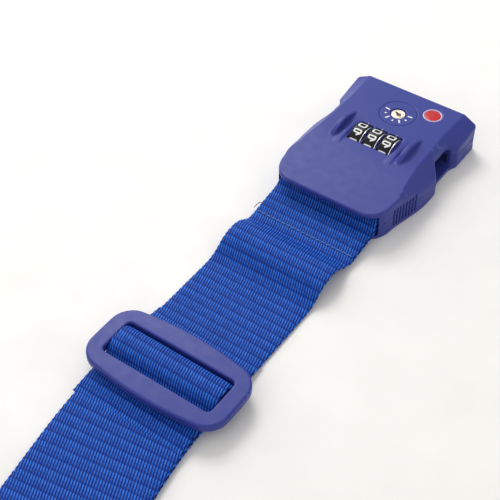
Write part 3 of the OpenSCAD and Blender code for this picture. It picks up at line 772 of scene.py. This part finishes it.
def setting_marks():
    """Index ticks and dots on the plate round the key."""
    parts = []
    ring_r = 5.7
    for number, turn in enumerate(range(176, 372, 32)):
        a = math.radians(turn)
        out = np.array([math.cos(a), math.sin(a), 0])
        centre = np.array([KEY[0], KEY[1], ROOF])
        reach = 1.15 if number % 2 == 0 else 0.5
        line = centre + out * np.linspace(ring_r - reach, ring_r + reach, 7)[:, None]
        parts.append(swept(line, (0, 0, 1), 0.42, 0.08, 8))
    for m in DIAL_MIDDLES:
        line = np.array([m[0], DIAL_Y + 6.9, 0]) + np.linspace(-0.12, 0.12, 3)[:, None] * [1, 0, 0]
        line[:, 2] = top_z(DIAL_Y) + 0.12
        parts.append(swept(line, (0, 0, 1), 0.3, 0.06, 10))
    return merged(parts)


def build_key_and_badge():
    plate = add_mesh("key_plate", *skin(bezel, BEZEL_LOW - 0.5, BEZEL_HIGH + 0.5, 0.15))
    finish_piece(plate, SHELL, "lock", ["key_bezel"])
    core = add_mesh("key_barrel", *skin(barrel, KEY_LOW - 0.5, KEY_HIGH + 0.5, 0.13))
    finish_piece(core, BARREL, "cylinder", ["key_cylinder"])
    finish_piece(add_mesh("setting_marks", *setting_marks()), WHITE_MARK, "lock")
    low, top, r = BADGE_LOW[2] + 0.05, BADGE_HIGH[2], BADGE_R
    ring = [(r - 0.75, low), (r, low), (r, top - 0.2), (r - 0.1, top - 0.05), (r - 0.3, top),
            (r - 0.55, top - 0.03), (r - 0.75, top - 0.25)]
    rim = add_mesh("badge_rim", *lathe(ring, BADGE))
    finish_piece(rim, PALE_RIM, "lock", ["badge_inlay"])
    dome = [(0.02, low)] + [(r - 0.78, low)] + [
        (t * (r - 0.78), top - 0.28 + 0.26 * math.sqrt(1 - t * t)) for t in np.linspace(1, 0.005, 14)]
    face = add_mesh("badge_face", *lathe(dome, BADGE))
    finish_piece(face, RED_ENAMEL, "lock")


# ---- adjuster ----

CROWN, ADJ_CORNER = 3.6, 7.5
ADJ_BOW = 0.6                   # how far the short sides bow out
# The arch of webbing: reach beyond the frame, length of its thinning ends, extra half-width.
ARCH_REACH, ARCH_FADE, ARCH_EXTRA = 8.5, 9.0, 0.3
ADJ_BORDER, ADJ_SIDE = 9.0, 7.0
BAR_HALF, BAR_T = 3.0, 2.6
BAR_Z = 4.9
ADJ_TOP = ADJ_HIGH[2]
ADJ_UNDER = ADJ_TOP - 4.2


def adjuster_frame(x, y, z):
    half_w, half_l = ADJ_HIGH[0] + ADJ_BOW, (ADJ_HIGH[1] - ADJ_LOW[1]) / 2
    ax, ay = np.abs(x), np.abs(y - ADJ_Y)
    slope = 2 * CROWN * ax / half_w ** 2
    long_side = (ay - half_l + CROWN * (ax / half_w) ** 2) / np.hypot(1, slope)
    outline = both(ax - half_w + ADJ_BOW * (ay / half_l) ** 2, long_side, ADJ_CORNER)
    bulge = 0.35 * (ax / half_w) ** 2 + 0.25 * (ay / half_l) ** 2
    ring = both(outline, slab(z, ADJ_UNDER, ADJ_TOP - bulge), 0.95)
    hole = both(ax - half_w + ADJ_SIDE, ay - half_l + ADJ_BORDER, 2.0)
    ring = without(ring, hole, 0.6)
    bar = both(both(ay - BAR_HALF, slab(z, BAR_Z, BAR_Z + BAR_T), 1.25), ax - half_w + 2, 0.1)
    return either(ring, bar, 0.3)


def arch_path():
    """Running ply through the adjuster: flat over the bar, then down under both borders."""
    top = BAR_Z + BAR_T + 0.2 + 1.5 * WEB_T
    half_l = (ADJ_HIGH[1] - ADJ_LOW[1]) / 2
    sunk = FLAT_Z + PLY
    near = [(-half_l - ARCH_REACH, sunk + 0.4), (-half_l, sunk + 1.55), (-14, 3.95), (-10.5, 3.9),
            (-8.4, 4.3)]
    over = [(-5.2, 7.2), (-3.6, 8.9), (-2.2, 9.65), (0, top + 0.05), (3, top + 0.05)]
    far = [(5.2, top - 0.3), (6.6, 8.3), (7.2, 6.2), (8.3, 4.3), (10.5, 3.2), (14, 2.7), (18, 2.3),
           (half_l + ARCH_REACH, FLAT_Z + 0.45)]
    yz = softened(near + over + far, 0.3, 0.9)
    yz = resample(yz, STEP)
    return np.stack([np.zeros(len(yz)), yz[:, 0] + ADJ_Y, yz[:, 1]], 1)


def feathered(path, length):
    """Thickness along a band whose two ends thin out."""
    s = np.arange(len(path)) * STEP
    edge = np.minimum(s, s[-1] - s)
    return 0.25 + (WEB_T - 0.25) * ramp(edge, 0, length)


def arch_rows(path):
    """Rows of the weave along the arch, in step with the strap at both of its ends."""
    route = strap_route()
    rows = weave_rows(route)
    returning = int(len(route) * 0.7)
    leaving = returning // 4
    first = np.interp(-path[0, 1], -route[:leaving, 1], rows[:leaving])
    last = np.interp(path[-1, 1], route[returning:, 1], rows[returning:])
    last += 2 * round((first + (len(path) - 1) / 4 - last) / 2)
    return np.linspace(first, last, len(path))


def build_adjuster():
    step = 0.4
    ring = add_mesh("adjuster_frame_moulding", *skin(adjuster_frame, ADJ_LOW - 1.3, ADJ_HIGH + 1.3, step))
    finish_piece(ring, SHELL, "adjuster", ["adjuster_frame"])
    path = arch_path()[::-1]
    arch = add_band("adjuster_webbing", path, half_w=WEB_HALF + ARCH_EXTRA,
                    thickness=feathered(path, ARCH_FADE), rows=arch_rows(path))
    finish_piece(arch, WEBBING, "adjuster", ["webbing_arch"])
    r = BAR_T / 2 + 0.1 + WEB_T / 2
    bar_y, mid_z = BAR_HALF - BAR_T / 2, BAR_Z + BAR_T / 2
    loop = np.concatenate([arc((bar_y, mid_z), r, -88, 90), arc((-bar_y, mid_z), r, 90, 268)])
    loop = resample(loop, STEP)
    loop = np.stack([np.zeros(len(loop)), loop[:, 0] + ADJ_Y, loop[:, 1]], 1)
    wrap = add_band("adjuster_sewn_loop", loop, rib=0.04)
    finish_piece(wrap, WEBBING, "adjuster", ["webbing_bar_loop"])


# ---- strap ----

def strap_offset(y):
    """How far the strap has veered towards the hank."""
    return HANK_X * ramp(-np.asarray(y), 158, 242)


def lock_lead():
    """(y, z) from the cut end, round the pin, over the wave and along the floor to the adjuster."""
    loop_r = PIN_R + 0.15 + WEB_T / 2
    mouth_y = PIN[1] - 2.5
    under = [(CUT_END_Y, 1.0), (-52, 1.6), (-46, 2.1), (-40, 3.0), (mouth_y, PIN[2] - loop_r + 0.3)]
    seam = [(mouth_y, PIN[2] + loop_r - 0.2), (-37, 6.6), (-40, 5.3), (-43, 4.8), (-46, 4.5), (-49, 3.9),
            (-51.5, 3.3), (-53.5, 3.1), (-56, 2.5), (-58.5, 2.3)]
    wave = [(-61, 2.9), (-64, 5.0), (-67, 6.8), (-71, 7.5), (-75, 7.0), (-78, 6.1), (-80, 4.8),
            (-82.5, 3.1), (-85, 1.7), (-88, 0.9), (-92, FLAT_Z)]
    turn = arc((PIN[1], PIN[2]), loop_r, -95, 95, 20)
    return np.concatenate([under, turn, seam, wave])


def hank_middle():
    """(y, z) midway between the two plies, from the adjuster through the hank's folds to the plug."""
    front, back = HANK_HIGH[1] - 1.5, HANK_LOW[1] + 1.5
    pitch = (HANK_HIGH[2] - HANK_LOW[2]) / 4
    runs = [HANK_LOW[2] + pitch * (i + 0.5) for i in range(4)] + [HANK_HIGH[2] + 0.1 + FLAT_Z + PLY / 2]
    fold_r = 2.1
    path = [(RETURN_Y, FLAT_Z + PLY / 2), (-236, FLAT_Z + PLY / 2), (-254, runs[0])]
    stagger = [0.0, 1.4, 0.6, -1.2]
    for i in range(4):
        mid = (runs[i] + runs[i + 1]) / 2
        if i % 2 == 0:
            y = back + fold_r + stagger[i]
            path += [(y + 7, runs[i]), *arc((y, mid), fold_r, -100, -260), (y + 7, runs[i + 1])]
        else:
            y = front - fold_r - stagger[i]
            path += [(y - 7, runs[i]), *arc((y, mid), fold_r, -80, 80), (y - 7, runs[i + 1])]
    path += [(PLUG_HIGH[1] + 19, runs[4]), (PLUG_BAR_Y + 13, runs[4])]
    return np.array(path)


PLUG_BAR_Y = PLUG_HIGH[1] - 5.0


def plug_loop():
    r = 2.0 + 0.3 + WEB_T / 2
    z0 = HANK_HIGH[2] + 0.1 + FLAT_Z
    return np.concatenate([
        [(PLUG_BAR_Y + 12, z0), (PLUG_BAR_Y + 6, PLUG_Z - r + 0.2)],
        arc((PLUG_BAR_Y, PLUG_Z), r, 270, 90, 22),
        [(PLUG_BAR_Y + 6, PLUG_Z + r - 1.6), (PLUG_BAR_Y + 12, z0 + PLY)]])


def strap_route():
    """The whole strap's middle line, from the cut end in the lock to the ply that ends at the adjuster."""
    step = 0.4
    middle_line = softened(hank_middle(), step, 1.0)
    t = tangents(middle_line)
    left = np.stack([-t[:, 1], t[:, 0]], 1)
    lower, upper = middle_line + left * PLY / 2, middle_line - left * PLY / 2
    lead = softened(lock_lead(), step, 0.8)
    yz = np.concatenate([lead, lower, plug_loop(), upper[::-1]])
    yz = softened(yz, step, 0.5)
    yz = resample(yz, STEP)
    drift = 0.35 * np.sin(yz[:, 0] / 23.0) * ramp(-yz[:, 0], 256, 300) * np.sin(yz[:, 1] * 0.9)
    x = strap_offset(yz[:, 0]) + drift
    return np.stack([x, yz[:, 0], yz[:, 1]], 1)


def weave_rows(route):
    """Rows of the weave along the strap. They count back after the plug, so both runs look the same way."""
    s = np.concatenate([[0], np.cumsum(np.linalg.norm(np.diff(route, axis=0), axis=1))])
    turn = s[np.argmax(route[:, 2])]
    return np.where(s < turn, s, 2 * turn - s) / ROW


def top_of(route, y):
    """Height of the strap's upper face where its first run from the lock passes y."""
    run = route[:int(90 / STEP)]
    run = run[run[:, 2] > PLY]
    return np.interp(-y, -run[:, 1], run[:, 2]) + WEB_T / 2


def stitch_row(x0, x1, y, top, count, height=0.42, radius=0.34, lean=0.0):
    """Lockstitches across a strap, each one rising from the weave and diving back."""
    parts = []
    pitch = (x1 - x0) / count
    t = np.linspace(0, 1, 9)
    for i in range(count):
        x = x0 + (i + 0.06) * pitch + t * 0.88 * pitch
        z = top - 0.25 + (height + 0.25) * np.sin(math.pi * t) ** 0.6
        line = np.stack([x, y + lean * (t - 0.5), z], 1)
        parts.append(swept(line, (0, 0, 1), radius, radius, 8))
    return parts


def build_strap():
    route = strap_route()
    strap = add_band("strap_webbing", route, rows=weave_rows(route))
    nodes = ["webbing_lock_end", "webbing_run", "webbing_return", "webbing_hank", "webbing_plug_end"]
    finish_piece(strap, WEBBING, "strap", nodes)
    seam = []
    for y, height, lean in ((-52.4, 0.42, 0.5), (-54.6, 0.12, 0.3)):
        seam += stitch_row(-WEB_HALF + 1, WEB_HALF - 1, y, top_of(route, y), 19, height, lean=lean)
    seam = add_mesh("lock_seam", *merged(seam))
    finish_piece(seam, THREAD, "strap", ["lock_stitching"])
    tail = softened([(-24.0, -50.5, 4.7), (-25.3, -50.2, 4.5), (-26.2, -50.9, 3.6), (-26.5, -52.6, 3.2),
                     (-25.9, -54.0, 3.9)], 0.2, 0.5)
    loose = add_mesh("loose_thread_end", *swept(tail, (0, 0, 1), 0.16, 0.16, 8))
    finish_piece(loose, DARK_THREAD, "strap")
    z = HANK_HIGH[2] + 0.1 + 2 * PLY
    seam = []
    for y in (PLUG_BAR_Y + 14, PLUG_BAR_Y + 17):
        seam += stitch_row(HANK_X - WEB_HALF + 2, HANK_X + WEB_HALF - 2, y, z, 17)
    seam = add_mesh("plug_seam", *merged(seam))
    finish_piece(seam, THREAD, "strap", ["plug_stitching"])
    z = BAR_Z - 0.1 - WEB_T
    seam = stitch_row(-WEB_HALF + 2, WEB_HALF - 2, ADJ_Y - 2, -z, 17)
    points, faces = merged(seam)
    seam = add_mesh("adjuster_seam", points * [1, 1, -1], [f[:, ::-1] for f in faces])
    finish_piece(seam, THREAD, "adjuster", ["adjuster_stitching"])


def build_hank_band():
    """Elastic that holds the hank, a rounded loop across it."""
    t = 1.0
    x0, x1 = BAND_LOW[0] + t / 2, BAND_HIGH[0] - t / 2
    z0, z1 = BAND_LOW[2] + t / 2, BAND_HIGH[2] - t / 2
    r = 2.4
    right, left, low, high = x1 - r, x0 + r, z0 + r, z1 - r
    corners = [((right, low), -90), ((right, high), 0), ((left, high), 90), ((left, low), 180)]
    loop = np.concatenate([arc(c, r, a, a + 90, 10) for c, a in corners])
    loop = resample(np.concatenate([loop, loop[:1]]), 0.5)[:-1]
    y = (BAND_LOW[1] + BAND_HIGH[1]) / 2
    path = np.stack([loop[:, 0], np.full(len(loop), y), loop[:, 1]], 1)
    half = (BAND_HIGH[1] - BAND_LOW[1]) / 2
    band = add_band("elastic_hank_band", path, half, np.full(len(path), t), 13, 0.03, closed=True,
                    across=(0, 1, 0))
    finish_piece(band, ELASTIC, "strap", ["hank_band"])


# ---- plug ----

PLUG_FACE = PLUG_BAR_Y - 20
PLUG_BACK = PLUG_BAR_Y - 5
CHEEK_IN = WEB_HALF + 0.8
ARM_X, ARM_HALF, ARM_T, ARM_LEN = 20.0, 2.5, 5.0, 32.0
ARM_ROOT = PLUG_FACE + 1.5
BARB_OUT, BARB_START = 6.0, 18.0


def plug_body(x, y, z):
    x, z = x - HANK_X, z - PLUG_Z
    ax = np.abs(x)
    half_w, half_t = (PLUG_HIGH[0] - PLUG_LOW[0]) / 2, (PLUG_HIGH[2] - PLUG_LOW[2]) / 2
    head = both(both(slab(y, PLUG_FACE, PLUG_BACK), ax - half_w, 3.0), np.abs(z) - half_t, 1.2)
    ribs = np.minimum.reduce([
        block(x, y, np.abs(z), (-9, start, half_t - 0.5), (9, start + 1.2, 9), 0.3)
        for start in PLUG_FACE + 3.5 + 2.6 * np.arange(4)])
    head = without(head, ribs, 0.2)
    cheeks = block(ax, y, z, (CHEEK_IN, PLUG_BACK - 3, -half_t), (half_w, PLUG_HIGH[1], half_t), 1.5)
    bar = both(round_bar(y - PLUG_BAR_Y, z, 2.0), ax - CHEEK_IN - 1, 0.1)
    tongue = block(x, y, z, (-7.5, PLUG_LOW[1], -2), (7.5, PLUG_FACE + 2, 2), 0.7)
    solid = either(either(either(head, cheeks, 0.6), bar, 0.3), tongue, 0.5)
    socket = round_bar(ax - ARM_X, y - ARM_ROOT, ARM_HALF + 0.3)
    way = both(np.abs(ax - ARM_X) - ARM_HALF - 0.3, slab(y, PLUG_FACE - 9, ARM_ROOT), 0.05)
    return without(solid, np.minimum(socket, way), 0.3)


def plug_arm(side):
    """Field of the springy arm on one side: 1 is +X and -1 is -X."""
    tip = PLUG_FACE - ARM_LEN

    def field(x, y, z):
        out = side * (x - HANK_X) - ARM_X
        blade = both(both(np.abs(out) - ARM_HALF, tip - y, 1.2), y - ARM_ROOT, 0.1)
        blade = np.minimum(blade, round_bar(out, y - ARM_ROOT, ARM_HALF))
        back = PLUG_FACE - BARB_START
        run = (BARB_OUT + 1) / (back - 3 - tip)
        front_face = (out - ARM_HALF + 1 - run * (y - tip)) / math.hypot(1, run)
        barb = both(both(both(front_face, y - back, 0.8), out - ARM_HALF - BARB_OUT, 0.8), -out, 0.1)
        return both(either(blade, barb, 0.6), np.abs(z - PLUG_Z) - ARM_T / 2, 0.7)
    return field


def build_plug():
    step = 0.45
    body = add_mesh("plug_moulding", *skin(plug_body, PLUG_LOW - 1.5, PLUG_HIGH + 1.5, step))
    finish_piece(body, SHELL, "plug", ["plug_body"])
    for name, side in (("left", -1), ("right", 1)):
        low, high = span(f"plug_arm_{name}")
        arm = add_mesh(f"plug_arm_{name}_moulding", *skin(plug_arm(side), low - 1.5, high + 1.5, step))
        finish_piece(arm, SHELL, f"arm_{name}", [f"plug_arm_{name}"])


# ---- carried-over CAD parts ----

def dress_cad_parts():
    finishes = {
        "housing_screws": STEEL, "webbing_pin": STEEL, "dial_shaft": STEEL, "detent_spring": STEEL,
        "locking_plate": STEEL, "locking_plate_spring": STEEL, "reset_spring": STEEL,
        "cylinder_cam": BARREL, "cylinder_clip": STEEL, "reset_button": DARK_PLASTIC,
        "dial_sleeve_1": PLATED, "dial_sleeve_2": PLATED, "dial_sleeve_3": PLATED}
    for node, material in finishes.items():
        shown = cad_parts[node]
        if not shown.material_slots:
            shown.data.materials.append(material)
        for place in shown.material_slots:
            place.material = material


# ---- floor, light and camera ----

AIM = np.array([-14.7, -73.0, 0.0])
DISTANCE, AZIMUTH, ELEVATION, ROLL, LENS = 465.7, 35.8, 46.25, -0.4, 79.27


def build_floor():
    m = Shader("warm_white_floor")
    paper = m.noise(40.0, 4.0)
    m.set(Base_Color=m.mix(m.spread(paper, 0.3, 0.7, 0.0, 1.0), srgb(250, 249, 246), srgb(246, 245, 242)))
    m.set(Roughness=m.spread(paper, 0.3, 0.7, 0.55, 0.7))
    half = 2500.0
    points = [(-half, -half, 0), (half, -half, 0), (half, half, 0), (-half, half, 0)]
    floor = add_mesh("floor", points, np.array([[0, 1, 2, 3]]), smooth=False)
    floor.location.z = -0.0002
    floor.data.materials.append(m.material)


def add_area_light(name, place, target, size, power, colour=(1, 1, 1)):
    light = bpy.data.lights.new(name, "AREA")
    light.shape = "SQUARE"
    light.size = size
    light.energy = power
    light.color = colour
    lamp = bpy.data.objects.new(name, light)
    lamp.location = place
    lamp.rotation_euler = (Vector(target) - Vector(place)).to_track_quat("-Z", "Y").to_euler()
    bpy.context.scene.collection.objects.link(lamp)


def build_lights():
    world = bpy.data.worlds.new("soft_studio")
    world.use_nodes = True
    background = world.node_tree.nodes["Background"]
    background.inputs["Color"].default_value = (1.0, 0.99, 0.97, 1)
    background.inputs["Strength"].default_value = 0.62
    bpy.context.scene.world = world
    target = (0.0, -0.09, 0.0)
    add_area_light("key_light", (-0.75, 0.55, 1.0), target, 0.6, 9.0)
    add_area_light("fill_light", (-0.5, -1.0, 0.9), target, 1.2, 1.8)
    add_area_light("side_light", (-1.3, 0.25, 0.35), target, 0.9, 4.5)


def build_camera():
    a, e, roll = (math.radians(v) for v in (AZIMUTH, ELEVATION, ROLL))
    back = Vector((math.sin(a) * math.cos(e), -math.cos(a) * math.cos(e), math.sin(e)))
    right = Vector((math.cos(a), math.sin(a), 0))
    up = back.cross(right)
    turned = math.cos(roll) * right + math.sin(roll) * up
    top = -math.sin(roll) * right + math.cos(roll) * up
    place = (Vector(AIM) + DISTANCE * back) * MM
    data = bpy.data.cameras.new("camera")
    data.lens = LENS
    data.sensor_width = 36
    data.clip_start = 0.01
    camera = bpy.data.objects.new("camera", data)
    axes = Matrix((turned, top, back)).transposed()
    camera.matrix_world = Matrix.Translation(place) @ axes.to_4x4()
    bpy.context.scene.collection.objects.link(camera)
    bpy.context.scene.camera = camera


bpy.context.scene.view_settings.view_transform = "Standard"
build_floor()
build_lock()
build_dials()
build_key_and_badge()
build_adjuster()
build_strap()
build_hank_band()
build_plug()
dress_cad_parts()
build_lights()
build_camera()
